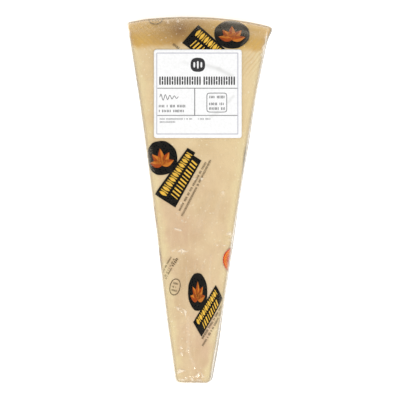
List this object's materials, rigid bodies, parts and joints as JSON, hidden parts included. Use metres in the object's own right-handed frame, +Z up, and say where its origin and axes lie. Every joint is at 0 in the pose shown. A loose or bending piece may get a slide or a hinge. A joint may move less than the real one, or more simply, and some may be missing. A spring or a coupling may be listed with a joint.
{
  "type": "film-wrapped parmesan wedge",
  "caption": "Long slim wedge of hard aged cheese with its rind at the wide end, lying flat, sealed in printed clear shrink film with a square paper label.",
  "frame": {"origin": "middle of the pack's bounding box, on the surface that it lies on", "axes": "+Y along the wedge from the narrow end to the rind, +X across it, +Z up through the labelled face"},
  "size_m": [0.0668, 0.1682, 0.0273],
  "materials": {
    "cheese": "pale dry granular cut faces, amber rind at the wide end",
    "clear_film": "clear glossy shrink film with fine creases and a welded seam",
    "dark_ink": "dark brown ink printed on film",
    "amber_ink": "amber yellow ink printed on film",
    "red_ink": "orange red ink printed on film",
    "label_paper": "smooth white coated paper",
    "label_ink": "black and grey print on paper"
  },
  "bodies": {
    "root": {"wrapped_wedge": "cheese", "label": "label_paper"}
  },
  "joints": []
}
